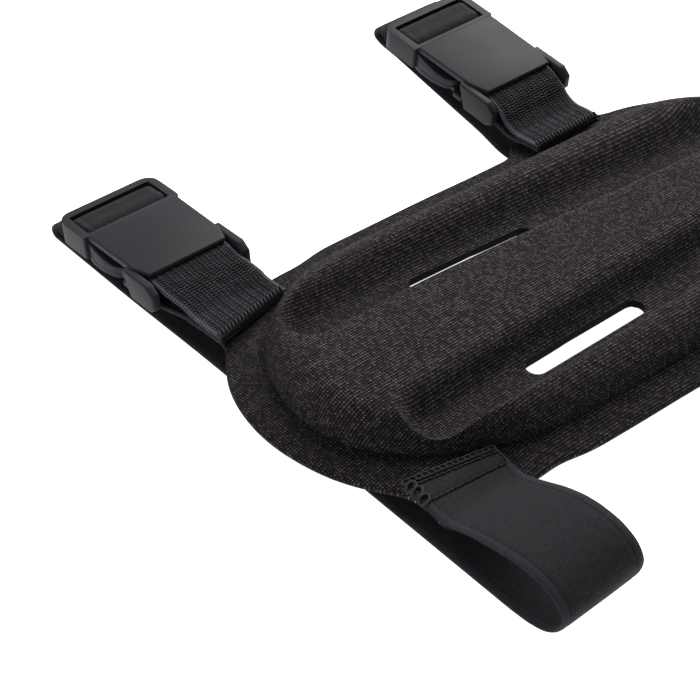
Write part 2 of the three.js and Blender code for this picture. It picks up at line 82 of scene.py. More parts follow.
world = bpy.data.worlds.new("studio_air")
world.use_nodes = True
air = world.node_tree.nodes["Background"]
air.inputs["Color"].default_value = (1, 1, 1, 1)
air.inputs["Strength"].default_value = AIR_STRENGTH
bpy.context.scene.world = world
bpy.context.scene.view_settings.view_transform = "Standard"

for name, turn, height, distance, size, watts in LAMPS:
    turn, height = math.radians(turn), math.radians(height)
    flat = distance * math.cos(height)
    place = (flat * math.sin(turn), flat * math.cos(turn), distance * math.sin(height))
    facing = (math.pi / 2 - height, 0, math.pi - turn)
    bpy.ops.object.light_add(type="AREA", location=place, rotation=facing)
    lamp = bpy.context.object
    lamp.name = name
    lamp.data.size = size
    lamp.data.energy = watts

reach = VIEW_DISTANCE * math.cos(VIEW_DOWN)
eye = (
    MM * (VIEW_TARGET[0] - reach * math.sin(VIEW_TURN)),
    MM * (VIEW_TARGET[1] - reach * math.cos(VIEW_TURN)),
    MM * (VIEW_TARGET[2] + VIEW_DISTANCE * math.sin(VIEW_DOWN)),
)
bpy.ops.object.camera_add(location=eye, rotation=(math.pi / 2 - VIEW_DOWN, 0, -VIEW_TURN))
camera = bpy.context.object
camera.data.lens = VIEW_LENS
camera.data.sensor_width = FILM_WIDTH
bpy.context.scene.camera = camera

# Pad: closed-cell foam pressed hot between two layers of black knit. The press leaves a thin flange round the
# edge with a tab under each strap, a raised body with a middle panel, two long grooves with round ends, and
# two vent slots cut through the groove floors. The pad swings a little off the straight past its near end.
PAD_STRAIGHT = 51.8
PAD_HALF_WIDTH = 49.5
BODY_RADIUS = 41.0
FLANGE_TOP = 8.2
FLANGE_DROOP = 1.77
FLANGE_UNDER = 4.7
EDGE_ROUND = 0.7
# slight waves of the pressed edge: height, then length along the sides and turns round the ends
EDGE_WAVE = 0.18
SHORT_WAVE, SHORT_TURNS = 9.0, 7
LONG_WAVE, LONG_TURNS = 23.0, 11
# the flange is wider on the buckle side and drawn in beside the near straps
SPREAD = 1.5
SPREAD_START, SPREAD_FULL = -0.3, 0.6
NOTCH_DEPTH = 1.6
NOTCH_X = -55.0
NOTCH_RUN = 7.0
SHOULDER_WIDTH = 7.5
SHOULDER_START = BODY_RADIUS - SHOULDER_WIDTH
SHOULDER_RISE = 9.1
SHOULDER_POWER = 1.9
PANEL_HALF_WIDTH = 15.0
PANEL_CROWN = 0.8
DISH_DEPTH = 3.6
DISH_RUN = 20.0
SWING = 0.035
SWING_START = -45.0
SWING_SOFTNESS = 8.0
GROOVES = [
    {"y": 23.2, "swing": 0.075, "floor_lean": -2.6, "slot_shift": -3.9, "slot_width": 5.2},
    {"y": -23.8, "swing": -0.005, "floor_lean": -0.9, "slot_shift": -0.1, "slot_width": 5.9},
]
GROOVE_END = 72.3
GROOVE_FLOOR, GROOVE_LIP, GROOVE_WALL_TOP = 11.2, 17.15, 20
NO_GROOVE = 99
# half width of a groove, and its height there
GROOVE_SECTION = [
    (0, GROOVE_FLOOR), (2.9, GROOVE_FLOOR), (4.2, 11.5), (5.5, 12.4), (6.7, 13.9), (7.7, 15.5), (8.6, 16.5),
    (9.7, GROOVE_LIP), (11, 18.2), (11.4, GROOVE_WALL_TOP),
]
SLOT_X = -22.0
SLOT_LENGTH = 40.0
SLOT_LIP_WIDTH = 0.7
SLOT_LIP_DROP = 0.2
SLOT_EDGE_RUN = 3.5
SLOT_EDGE_THINNING = 0.8
SLOT_CUT_DEPTH, SLOT_CUT_MIDDLE = 40, 10
STRAPS = [
    {
        "name": "near", "x": -78.5, "outset": 0.0, "loop_outset": 0.0, "slant": 0.2, "sway": -1.9,
        "drift": -1.1, "loop_shift": 1.0, "lift": 0.0, "tab_half": 9.8, "fillet": 3.0,
    },
    {
        "name": "far", "x": 39.5, "outset": 6.0, "loop_outset": 9.5, "slant": 0.0, "sway": 0.0,
        "drift": 0.0, "loop_shift": 0.0, "lift": 12.0, "tab_half": 14.0, "fillet": 7.0,
    },
]
TAB_END = FAR_TAB_END - STRAPS[1]["outset"]
TAB_CORNER = 2.5
TAB_SLOPE = 0.12
WAIST_DEPTH = 3.6
WAIST_RUN = 20.0
WAIST_SHIFT = 8.0
WAIST_START_Y, WAIST_FULL_Y, WAIST_FULL_RADIUS = 5, 25, 34
# fineness of the mesh: rays from the spine to the edge, and rings of points round the pad
SIDE_RAYS, END_RAYS = 130, 170
PANEL_RINGS, ROLL_RINGS, FLANGE_RINGS, RIM_RINGS, UNDER_RINGS = 66, 24, 11, 8, 30
RING_BEND_FULL, RING_BEND_FADE = 10, 27
EDGE_SEARCH = (30.0, 85.0)
SEARCH_STEPS = 40
WELD = 0.002
# the cloth of the underside has its own place on the flat, clear of the top's
UNDERSIDE_CLOTH = 400


def ease(value, start, stop):
    share = np.clip((value - start) / (stop - start), 0, 1)
    return share * share * (3 - 2 * share)


def smooth_line(rows, step):
    """Points at even steps along a smooth curve through the rows, by the first two columns' length."""
    points = np.array(rows, float)
    chord = np.r_[0, np.cumsum(np.hypot(np.diff(points[:, 0]), np.diff(points[:, 1])))]
    slope = np.gradient(points, chord, axis=0)
    fine = np.linspace(0, chord[-1], max(int(chord[-1] / 0.05), 50))
    before = np.clip(np.searchsorted(chord, fine, side="right") - 1, 0, len(chord) - 2)
    span = (chord[before + 1] - chord[before])[:, None]
    share = (fine - chord[before])[:, None] / span
    curve = (
        (2 * share**3 - 3 * share**2 + 1) * points[before]
        + (share**3 - 2 * share**2 + share) * span * slope[before]
        + (3 * share**2 - 2 * share**3) * points[before + 1]
        + (share**3 - share**2) * span * slope[before + 1]
    )
    run = np.r_[0, np.cumsum(np.hypot(np.diff(curve[:, 0]), np.diff(curve[:, 1])))]
    even = np.linspace(0, run[-1], max(int(round(run[-1] / step)), 2) + 1)
    return np.stack([np.interp(even, run, column) for column in curve.T], axis=1)


GROOVE_LINE = smooth_line(GROOVE_SECTION, 0.1)


def swung_run(x):
    """Length of the swung stretch up to a place along the pad."""
    return SWING_SOFTNESS * np.log1p(np.exp((np.asarray(x, float) - SWING_START) / SWING_SOFTNESS))


def pad_rays(side_steps, end_steps):
    """Foot on the pad's spine and outward direction of every ray from the spine to the edge."""
    angle = math.pi * (np.arange(end_steps) / end_steps - 0.5)
    along = np.arange(side_steps) / side_steps
    foot = np.r_[np.full(end_steps, PAD_STRAIGHT), PAD_STRAIGHT * (1 - 2 * along)]
    out_x = np.r_[np.cos(angle), np.zeros(side_steps)]
    out_y = np.r_[np.sin(angle), np.ones(side_steps)]
    return np.r_[foot, -foot], np.r_[out_x, -out_x], np.r_[out_y, -out_y]


def beyond_edge(x, y):
    """Distance outside the straight pad's outline, with the strap tabs blended in."""
    radius = np.hypot(np.maximum(np.abs(x) - PAD_STRAIGHT, 0), y)
    distance = radius - PAD_HALF_WIDTH - SPREAD * ease(y / radius, SPREAD_START, SPREAD_FULL)
    distance = distance + NOTCH_DEPTH * np.exp(-(((x - NOTCH_X) / NOTCH_RUN) ** 2))
    true_y = y - SWING * swung_run(x)
    for strap in STRAPS:
        out = np.where(true_y > 0, strap["outset"], strap["loop_outset"])
        past_x = np.abs(x - strap["x"]) - (strap["tab_half"] - TAB_CORNER)
        past_y = np.abs(true_y) - (TAB_END + out - TAB_CORNER)
        corner = np.hypot(np.maximum(past_x, 0), np.maximum(past_y, 0))
        tab = corner + np.minimum(np.maximum(past_x, past_y), 0) - TAB_CORNER
        share = np.clip(0.5 + 0.5 * (tab - distance) / strap["fillet"], 0, 1)
        distance = tab * (1 - share) + distance * share - strap["fillet"] * share * (1 - share)
    return distance


def edge_radius(foot, out_x, out_y):
    """Distance from the spine to the pad's edge along each ray, found by halving."""
    inside, outside = (np.full(foot.shape, limit) for limit in EDGE_SEARCH)
    for _ in range(SEARCH_STEPS):
        middle = (inside + outside) / 2
        free = beyond_edge(foot + middle * out_x, middle * out_y) > 0
        outside = np.where(free, middle, outside)
        inside = np.where(free, inside, middle)
    return inside


def waist(x, y, radius):
    """How far the body is drawn in beside the sewn ends of the elastic."""
    near = [np.exp(-(((x - strap["x"] - WAIST_SHIFT) / WAIST_RUN) ** 2)) for strap in STRAPS]
    depth = WAIST_DEPTH * ease(-y, WAIST_START_Y, WAIST_FULL_Y)
    return depth * ease(radius, PANEL_HALF_WIDTH, WAIST_FULL_RADIUS) * np.maximum(*near)


def across_groove(x, y, groove):
    """Place across a groove, measured on the straight pad before it swings."""
    return y - groove["y"] + (groove["swing"] - SWING) * swung_run(x)


def slot_lip(x, y, width, depth):
    """How far the cloth rolls in at the edge of a vent slot."""
    drop = np.zeros(x.shape)
    for groove in GROOVES:
        half = groove["slot_width"] / 2
        end = np.maximum(np.abs(x - SLOT_X) - (SLOT_LENGTH / 2 - half), 0)
        off = np.hypot(end, across_groove(x, y, groove) - groove["slot_shift"]) - half
        off = np.clip(off / width, 0, 1)
        drop = np.maximum(drop, depth * (1 - np.sqrt(1 - (1 - off) ** 2)))
    return drop


def groove_height(x, y, groove):
    """Height of a groove's wall; the floor leans to one side, so each wall has its own slope."""
    height = np.full(x.shape, GROOVE_LIP)
    for _ in range(SEARCH_STEPS):
        depth = np.clip((GROOVE_LIP - height) / (GROOVE_LIP - GROOVE_FLOOR), 0, 1)
        side = across_groove(x, y, groove) - groove["floor_lean"] * depth
        away = np.hypot(np.maximum(np.abs(x) - GROOVE_END, 0), side)
        found = np.interp(away, GROOVE_LINE[:, 0], GROOVE_LINE[:, 1], right=NO_GROOVE)
        height = 0.5 * height + 0.5 * np.minimum(found, GROOVE_WALL_TOP)
    return np.where(found > GROOVE_WALL_TOP - 1, NO_GROOVE, height)


def body_top(x, y, radius):
    """Height of the raised body: its shoulder, crowned panel, grooves and slot lips."""
    open_share = 1 - np.clip((BODY_RADIUS - radius) / SHOULDER_WIDTH, 0, 1)
    rise = (1 - open_share**SHOULDER_POWER) ** (1 / SHOULDER_POWER)
    crown = PANEL_CROWN * np.clip(1 - (y / PANEL_HALF_WIDTH) ** 2, 0, None) * (1 - open_share)
    height = FLANGE_TOP + SHOULDER_RISE * rise + crown
    for groove in GROOVES:
        height = np.minimum(height, groove_height(x, y, groove))
    return height - slot_lip(x, y, SLOT_LIP_WIDTH, SLOT_LIP_DROP)


def new_piece(name, points, faces):
    """An object whose mesh has its points in millimetres from the pad's middle line."""
    mesh = bpy.data.meshes.new(name)
    places = points * MM + np.array([0, PAD_MIDDLE_Y * MM, 0])
    mesh.from_pydata(places.tolist(), [], faces)
    piece = bpy.data.objects.new(name, mesh)
    bpy.context.collection.objects.link(piece)
    return piece


def clean_faces(piece):
    """Welds double points, drops faces without area and turns all faces outwards."""
    work = bmesh.new()
    work.from_mesh(piece.data)
    bmesh.ops.remove_doubles(work, verts=work.verts, dist=WELD * MM)
    bmesh.ops.dissolve_degenerate(work, edges=work.edges, dist=WELD * MM / 2)
    bmesh.ops.recalc_face_normals(work, faces=work.faces)
    work.to_mesh(piece.data)
    work.free()


def closed_mesh(name, rings, cloth, wrap_ends=True):
    """A skin over rings of points, with the cloth's own flat coordinates as its UV map."""
    count, around = rings.shape[:2]
    low = np.arange(around)
    following = (low + 1) % around
    faces = []
    for base in range(0, (count - 1) * around, around):
        top = base + around
        faces += np.stack([base + low, top + low, top + following, base + following], 1).tolist()
    if wrap_ends:
        faces.append(list(range(around)))
        faces.append(list(range((count - 1) * around, count * around))[::-1])
    piece = new_piece(name, rings.reshape(-1, 3), faces)
    layer = piece.data.uv_layers.new(name="cloth")
    index = np.empty(len(piece.data.loops), dtype=np.int64)
    piece.data.loops.foreach_get("vertex_index", index)
    layer.data.foreach_set("uv", cloth.reshape(-1, 2)[index].astype(np.float32).ravel())
    clean_faces(piece)
    return piece


def shade_smooth(piece, degrees):
    bpy.ops.object.select_all(action="DESELECT")
    piece.select_set(True)
    bpy.context.view_layer.objects.active = piece
    bpy.ops.object.shade_smooth_by_angle(angle=math.radians(degrees))


def follow_grooves(x, radius, out_y):
    """Side shift that lays the rings of points along the grooves."""
    groove = np.where(out_y > 0, GROOVES[0]["swing"], GROOVES[1]["swing"])
    share = ease(radius, 0, RING_BEND_FULL) * (1 - ease(radius, RING_BEND_FADE, SHOULDER_START))
    return -(groove - SWING) * swung_run(x) * share * np.abs(out_y)


def pad_rings():
    """Rings of points from the spine over the top to the edge and back below, and their cloth places."""
    foot, out_x, out_y = pad_rays(SIDE_RAYS, END_RAYS)
    short_wave = EDGE_WAVE * np.sin(foot / SHORT_WAVE + SHORT_TURNS * out_x)
    long_wave = np.sin(foot / LONG_WAVE + LONG_TURNS * out_y)
    edge = edge_radius(foot, out_x, out_y) + short_wave * long_wave
    panel = np.linspace(0, SHOULDER_START, PANEL_RINGS)
    roll = np.sin(np.linspace(0, math.pi / 2, ROLL_RINGS)) ** (2 / SHOULDER_POWER)
    body = np.r_[panel, SHOULDER_START + SHOULDER_WIDTH * roll[1:]]
    rings, cloth = [], []
    run, last = np.zeros(foot.shape), None

    def lay(radius, z, reach):
        x = foot + radius * out_x
        rings.append(np.stack([x, radius * out_y - SWING * swung_run(x), z], 1))
        cloth.append(np.stack([reach * out_y, foot + reach * out_x], 1))

    for radius in body:
        even = np.full(foot.shape, radius)
        drawn = radius - waist(foot + radius * out_x, radius * out_y, even)
        x = foot + drawn * out_x
        y = drawn * out_y + follow_grooves(x, even, out_y)
        height = body_top(x, y, even)
        if last is not None:
            run = run + np.hypot(drawn - last[0], height - last[1])
        last = (drawn, height)
        rings.append(np.stack([x, y - SWING * swung_run(x), height], 1))
        cloth.append(np.stack([run * out_y, foot + run * out_x], 1))
    whole = np.full(foot.shape, BODY_RADIUS)
    start = BODY_RADIUS - waist(foot + BODY_RADIUS * out_x, BODY_RADIUS * out_y, whole)
    rim = edge - EDGE_ROUND

    def flange(radius, top):
        plate = FLANGE_TOP - FLANGE_DROOP * np.clip((radius - start) / (PAD_HALF_WIDTH - start), 0, 1)
        drop = TAB_SLOPE * np.maximum(radius - PAD_HALF_WIDTH, 0)
        return (plate if top else np.full(radius.shape, FLANGE_UNDER)) - drop

    for share in np.linspace(0, 1, FLANGE_RINGS)[1:]:
        radius = start + (rim - start) * share
        lay(radius, flange(radius, True), run + radius - start)
    high, low = flange(rim, True), flange(rim, False)
    for angle in np.radians(np.linspace(90, -90, RIM_RINGS)[1:-1]):
        radius = rim + EDGE_ROUND * math.cos(angle)
        lay(radius, (high + low) / 2 + (high - low) / 2 * math.sin(angle), run + radius - start)
    for share in np.linspace(0, 1, UNDER_RINGS):
        radius = rim * (1 - share)
        dish = DISH_DEPTH * ease(BODY_RADIUS - radius, 0, DISH_RUN)
        thin = slot_lip(foot + radius * out_x, radius * out_y, SLOT_EDGE_RUN, SLOT_EDGE_THINNING)
        lay(radius, flange(radius, False) + dish + thin, UNDERSIDE_CLOTH + radius)
    return np.array(rings), np.array(cloth)


def fuse(body, others, operation="UNION"):
    """Joins other pieces to a body or, as a difference, cuts them out of it."""
    for other in others:
        step = body.modifiers.new("fuse", "BOOLEAN")
        step.operation = operation
        step.solver = "EXACT"
        step.object = other
        bpy.context.view_layer.objects.active = body
        bpy.ops.object.modifier_apply(modifier=step.name)
        bpy.data.objects.remove(other)
    return body


def cut_slot(pad, groove):
    """Cuts a long hole with round ends, which follows its groove, through the pad."""
    width = groove["slot_width"]
    bpy.ops.mesh.primitive_cylinder_add(vertices=64, radius=width / 2 * MM, depth=SLOT_CUT_DEPTH * MM)
    cutter = bpy.context.object
    for vertex in cutter.data.vertices:
        x = vertex.co.x / MM + math.copysign((SLOT_LENGTH - width) / 2, vertex.co.x) + SLOT_X
        middle = groove["y"] + groove["slot_shift"] - groove["swing"] * float(swung_run(x))
        vertex.co.x = x * MM
        vertex.co.y += (middle + PAD_MIDDLE_Y) * MM
        vertex.co.z += SLOT_CUT_MIDDLE * MM
    fuse(pad, [cutter], "DIFFERENCE")


def calc(tree, operation, *values):
    """A math node; a value is a number or another node's output."""
    node = tree.nodes.new("ShaderNodeMath")
    node.operation = operation
    for socket, value in zip(node.inputs, values):
        if isinstance(value, (int, float)):
            socket.default_value = value
        else:
            tree.links.new(value, socket)
    return node.outputs[0]


def blend_colours(tree, share, dark, light):
    node = tree.nodes.new("ShaderNodeMix")
    node.data_type = "RGBA"
    tree.links.new(share, node.inputs["Factor"])
    node.inputs["A"].default_value = (*dark, 1)
    node.inputs["B"].default_value = (*light, 1)
    return node.outputs["Result"]


# yarn: roundness, sharpness of the lit crown, and how rarely chance lights a stitch and how far it lifts it
YARN_ROUND, CROWN_POWER, CHANCE_POWER, CHANCE_RELIEF = 0.75, 1.6, 1.7, 0.35
LINT_SCALE, LINT_ROUGHNESS = 1600, 0.12
# height below which the pad's knit gets its full painted shade
PAINTED_SHADE_FLOOR = 12
# the faces of a tape lie this far to either side on the flat; a selvedge has a light band and a dark line
FACE_OFFSET = 40.0
SELVEDGE_BAND, SELVEDGE_LINE, SELVEDGE_SHADE = 0.5, 0.35, 0.12


def shader_group(name, inputs, outputs):
    """A new node group with number sockets, and its input and output nodes."""
    group = bpy.data.node_groups.new(name, "ShaderNodeTree")
    for side, labels in (("INPUT", inputs), ("OUTPUT", outputs)):
        for label in labels:
            group.interface.new_socket(label, in_out=side, socket_type="NodeSocketFloat")
    return group, group.nodes.new("NodeGroupInput"), group.nodes.new("NodeGroupOutput")


def yarn_cells_group():
    """Rows and columns of yarn on the cloth's flat coordinates in millimetres."""
    settings = ("Across", "Along", "Slant", "Stagger", "Odd Shade")
    group, given, found = shader_group("yarn_cells", settings, ("Height", "Shade", "Leg"))
    group.interface.new_socket("Vector", in_out="INPUT", socket_type="NodeSocketVector")
    split = group.nodes.new("ShaderNodeSeparateXYZ")
    group.links.new(given.outputs["Vector"], split.inputs[0])
    across = calc(group, "DIVIDE", split.outputs["X"], given.outputs["Across"])
    along = calc(group, "DIVIDE", split.outputs["Y"], given.outputs["Along"])
    column = calc(group, "FLOOR", across)
    lean = calc(group, "MULTIPLY", calc(group, "PINGPONG", across, 1.0), given.outputs["Slant"])
    odd = calc(group, "FLOORED_MODULO", column, 2.0)
    stagger = calc(group, "MULTIPLY", odd, given.outputs["Stagger"])
    course = calc(group, "ADD", calc(group, "ADD", along, lean), stagger)
    rib = calc(group, "SINE", calc(group, "MULTIPLY", calc(group, "FRACT", course), math.pi))
    yarn = calc(group, "SINE", calc(group, "MULTIPLY", calc(group, "FRACT", across), math.pi))
    height = calc(group, "MULTIPLY", rib, calc(group, "MULTIPLY_ADD", yarn, YARN_ROUND, 1 - YARN_ROUND))
    cell = group.nodes.new("ShaderNodeCombineXYZ")
    group.links.new(calc(group, "FLOOR", calc(group, "MULTIPLY", column, 0.5)), cell.inputs["X"])
    group.links.new(calc(group, "FLOOR", course), cell.inputs["Y"])
    random = group.nodes.new("ShaderNodeTexWhiteNoise")
    random.noise_dimensions = "2D"
    group.links.new(cell.outputs[0], random.inputs["Vector"])
    dimmed = calc(group, "SUBTRACT", 1.0, calc(group, "MULTIPLY", odd, given.outputs["Odd Shade"]))
    group.links.new(dimmed, found.inputs["Leg"])
    group.links.new(height, found.inputs["Height"])
    group.links.new(calc(group, "POWER", random.outputs["Value"], CHANCE_POWER), found.inputs["Shade"])
    return group


def handling_group():
    """Soft broad patches and fine lint from handling, on Object coordinates."""
    group, given, found = shader_group("handling", ("Patch Size",), ("Patch", "Lint"))
    place = group.nodes.new("ShaderNodeTexCoord")
    patch = group.nodes.new("ShaderNodeTexNoise")
    patch.inputs["Detail"].default_value = 3
    group.links.new(place.outputs["Object"], patch.inputs["Vector"])
    group.links.new(calc(group, "DIVIDE", 1.0, given.outputs["Patch Size"]), patch.inputs["Scale"])
    lint = group.nodes.new("ShaderNodeTexNoise")
    lint.inputs["Scale"].default_value = LINT_SCALE
    lint.inputs["Detail"].default_value = 2
    group.links.new(place.outputs["Object"], lint.inputs["Vector"])
    group.links.new(patch.outputs["Fac"], found.inputs["Patch"])
    group.links.new(lint.outputs["Fac"], found.inputs["Lint"])
    return group


YARN_CELLS = yarn_cells_group()
HANDLING = handling_group()


def selvedge_share(tree, flat, edge, gain):
    """Lighter band along both edges of a tape, with a dark line at its inner side."""
    split = tree.nodes.new("ShaderNodeSeparateXYZ")
    tree.links.new(flat, split.inputs[0])
    face = calc(tree, "ABSOLUTE", split.outputs["X"])
    across = calc(tree, "ABSOLUTE", calc(tree, "SUBTRACT", face, FACE_OFFSET))
    past = calc(tree, "SUBTRACT", across, edge)
    band = calc(tree, "MINIMUM", calc(tree, "MAXIMUM", past, 0.0), SELVEDGE_BAND)
    off = calc(tree, "DIVIDE", calc(tree, "ABSOLUTE", past), SELVEDGE_LINE)
    line = calc(tree, "MAXIMUM", calc(tree, "SUBTRACT", 1.0, off), 0.0)
    shade = calc(tree, "MULTIPLY", line, SELVEDGE_SHADE)
    return calc(tree, "SUBTRACT", calc(tree, "MULTIPLY", band, gain), shade)


def cloth_material(
    name, dark, light, pitch, slant, stagger, relief, roughness, contrast, patch,
    odd=0, painted_hollow_shade=1, painted_inner_light=1, edge=None,
):
    """Yarn in rows and columns. The contrast gives the shares of the yarn's height, of its height by chance,
    and of the broad patches. Odd columns can be darker, the pad's grooves and low parts get painted shade,
    and a tape's inner face gets painted light."""
    material = bpy.data.materials.new(name)
    material.use_nodes = True
    tree = material.node_tree
    shader = tree.nodes["Principled BSDF"]
    flat = tree.nodes.new("ShaderNodeUVMap")
    flat.uv_map = "cloth"
    cells = tree.nodes.new("ShaderNodeGroup")
    cells.node_tree = YARN_CELLS
    tree.links.new(flat.outputs["UV"], cells.inputs["Vector"])
    cells.inputs["Across"].default_value, cells.inputs["Along"].default_value = pitch
    cells.inputs["Slant"].default_value = slant
    cells.inputs["Stagger"].default_value = stagger
    cells.inputs["Odd Shade"].default_value = odd
    wear = tree.nodes.new("ShaderNodeGroup")
    wear.node_tree = HANDLING
    wear.inputs["Patch Size"].default_value = patch
    yarn_share, chance_share, patch_share = contrast
    lit = calc(tree, "MULTIPLY_ADD", cells.outputs["Shade"], chance_share, yarn_share)
    raised = calc(tree, "POWER", cells.outputs["Height"], CROWN_POWER)
    share = calc(tree, "MULTIPLY", calc(tree, "MULTIPLY", raised, lit), cells.outputs["Leg"])
    share = calc(tree, "MULTIPLY_ADD", wear.outputs["Patch"], patch_share, share)
    # painted shade: the knit is darkened from the groove lips down, into the grooves and over the shoulders
    # and flange
    if painted_hollow_shade < 1:
        place = tree.nodes.new("ShaderNodeTexCoord")
        split = tree.nodes.new("ShaderNodeSeparateXYZ")
        tree.links.new(place.outputs["Object"], split.inputs[0])
        depth = tree.nodes.new("ShaderNodeMapRange")
        depth.inputs["From Min"].default_value = PAINTED_SHADE_FLOOR * MM
        depth.inputs["From Max"].default_value = GROOVE_LIP * MM
        depth.inputs["To Min"].default_value = painted_hollow_shade
        tree.links.new(split.outputs["Z"], depth.inputs["Value"])
        share = calc(tree, "MULTIPLY", share, depth.outputs["Result"])
    # painted light: a tape's inner face is made lighter than its outer face, standing in for light inside the
    # elastic's loop
    if painted_inner_light > 1:
        sides = tree.nodes.new("ShaderNodeSeparateXYZ")
        tree.links.new(flat.outputs["UV"], sides.inputs[0])
        inner = calc(tree, "GREATER_THAN", sides.outputs["X"], 0.0)
        share = calc(tree, "MULTIPLY", share, calc(tree, "MULTIPLY_ADD", inner, painted_inner_light - 1, 1.0))
    if edge:
        share = calc(tree, "ADD", share, selvedge_share(tree, flat.outputs["UV"], *edge))
    tree.links.new(blend_colours(tree, share, dark, light), shader.inputs["Base Color"])
    smoothest = roughness - LINT_ROUGHNESS / 2
    rough = calc(tree, "MULTIPLY_ADD", wear.outputs["Lint"], LINT_ROUGHNESS, smoothest)
    tree.links.new(rough, shader.inputs["Roughness"])
    bump = tree.nodes.new("ShaderNodeBump")
    bump.inputs["Distance"].default_value = relief * MM
    height = calc(tree, "MULTIPLY_ADD", cells.outputs["Shade"], CHANCE_RELIEF, cells.outputs["Height"])
    tree.links.new(height, bump.inputs["Height"])
    tree.links.new(bump.outputs["Normal"], shader.inputs["Normal"])
    shader.inputs["Specular IOR Level"].default_value = 0.1
    shader.inputs["Sheen Weight"].default_value = 0.02
    shader.inputs["Sheen Roughness"].default_value = 0.5
    return material


def dress(piece, material, degrees, node=None):
    """Gives a piece its material and smooth shading, hangs it on the root body and hides the part it
    replaces.
    """
    piece.data.materials.append(material)
    shade_smooth(piece, degrees)
    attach(piece, "root")
    if node:
        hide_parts(node)


# the pad's knit gets painted shade in its grooves and low parts
knit = cloth_material(
    "black_knit", dark=(0.002, 0.0016, 0.002), light=(0.27, 0.223, 0.263), pitch=(0.43, 0.7), slant=0.6,
    stagger=0, relief=0.18, roughness=0.88, contrast=(0.26, 0.9, 0.0), patch=0.02, odd=0.7, painted_hollow_shade=0.7,
)

pad = closed_mesh("moulded_pad", *pad_rings(), wrap_ends=False)
for groove in GROOVES:
    cut_slot(pad, groove)
dress(pad, knit, degrees=55, node="pad")

# Webbing: ribbed polyester tape, 25 mm wide. Each piece is folded round the bar of its buckle, and both
# layers are sewn to the tab; the cut end, slanted on the near strap, is overcast with thick thread.
STRAP_HALF = 12.5
STRAP_THICKNESS = 1.1
SLANT_RUN = 14
TAPE_SAMPLES, TAPE_SQUARENESS, THIN_EDGE = 41, 14, 0.1
LIFT_START = 46.0
LIFT_RUN = 12.0
SWAY_START, SWAY_END = 48.5, 57.5
BUCKLE_Y = 61.3
BUCKLE_TOP = 15.4
BUCKLE_TILT = math.radians(6.5)
WEB_BAR_TOP, WEB_BAR_BOTTOM, WEB_BAR_START, WEB_BAR_END = -3.9, -6.3, 3.2, 6.2
STRAP_GAP = 0.35
# distance from the pad's middle, height
WEBBING_UPPER = [
    (36.9, 10.2), (42.6, 9.85), (46.5, 9.7), (50.5, 10.7), (54.5, 12.1), (58.5, 13.0), (61.5, 13.3),
]
WEBBING_LOWER = [(60.5, 7.6), (56, 7.5), (51, 7.5), (46.5, 7.8), (42.6, 8.5), (36.9, 8.9)]
WEBBING_STEP = 0.13
RIB_PITCH = 0.78
RIB_HEIGHT = 0.13
WEBBING_SELVEDGE, SELVEDGE_TURN = 11.0, 0.4
SEWN_HALF = 12.2
OVERCAST_PITCH, OVERCAST_REACH, OVERCAST_RADIUS = 1.2, 1.9, 0.33
THREAD_SIDES, THREAD_TIP = 7, 0.6
# no thread runs along this direction
OFF_THREAD = np.array([0.13, 0.21, 0.97])


def lifted(row, strap):
    """A point of the buckle side, turned up off the table beyond the tab. Rows are distance from the middle,
    height, rise of the far edge, and side drift."""
    start = LIFT_START + strap["outset"]
    out = row[0] - start
    angle = math.radians(strap["lift"]) * float(ease(row[0], start, start + LIFT_RUN))
    y = start + out * math.cos(angle) - row[1] * math.sin(angle)
    z = out * math.sin(angle) + row[1] * math.cos(angle)
    return (y, z, *row[2:], *[0.0] * (4 - len(row)))


def buckle_row(along, up, strap, *more):
    y = BUCKLE_Y + strap["outset"] + along * math.cos(BUCKLE_TILT) + up * math.sin(BUCKLE_TILT)
    return (y, BUCKLE_TOP - along * math.sin(BUCKLE_TILT) + up * math.cos(BUCKLE_TILT), *more)


def arc_rows(along, up, radius, first, last, strap):
    angles = np.radians(np.linspace(first, last, 7))
    return [buckle_row(along + radius * math.cos(a), up + radius * math.sin(a), strap) for a in angles]


def path_run(path):
    return np.r_[0, np.cumsum(np.hypot(np.diff(path[:, 0]), np.diff(path[:, 1])))]


def band_normals(path):
    """Unit normals of the tape's face along its path."""
    ahead = np.gradient(path[:, :2], axis=0)
    ahead /= np.linalg.norm(ahead, axis=1)[:, None]
    return np.stack([-ahead[:, 1], ahead[:, 0]], 1)


def on_band(path, strap, slants, along, across, lift):
    """Point in millimetres on the tape, by length from its start, place across and height over its middle."""
    run = path_run(path)
    y, z, lean, drift = (np.interp(along, run, column) for column in path.T)
    normal_y, normal_z = (np.interp(along, run, column) for column in band_normals(path).T)
    skew = slants[0] * (1 - ease(along, 0, SLANT_RUN)) + slants[1] * ease(along, run[-1] - SLANT_RUN, run[-1])
    rise = lean * across / STRAP_HALF
    return np.stack([
        strap["x"] + drift + across, y + lift * normal_y + skew * across, z + lift * normal_z + rise,
    ], -1)


def tape(name, path, strap, slants, relief):
    """A flat tape with rounded selvedges along a path, its faces raised by relief(along, across)."""
    across = np.sin(np.linspace(-math.pi / 2, math.pi / 2, TAPE_SAMPLES))
    thick = STRAP_THICKNESS / 2 * (1 - np.abs(across) ** TAPE_SQUARENESS) ** 0.5
    columns, cloth = [], []
    for share, half, face in [(across, thick, 1), (across[-2:0:-1], thick[-2:0:-1], -1)]:
        along, grid = np.meshgrid(path_run(path), share * STRAP_HALF, indexing="ij")
        raised = face * (half + relief(along, grid) * (half > THIN_EDGE))
        columns.append(on_band(path, strap, slants, along, grid, raised))
        cloth.append(np.stack([grid + FACE_OFFSET * face, along], -1))
    return closed_mesh(name, np.concatenate(columns, 1), np.concatenate(cloth, 1))


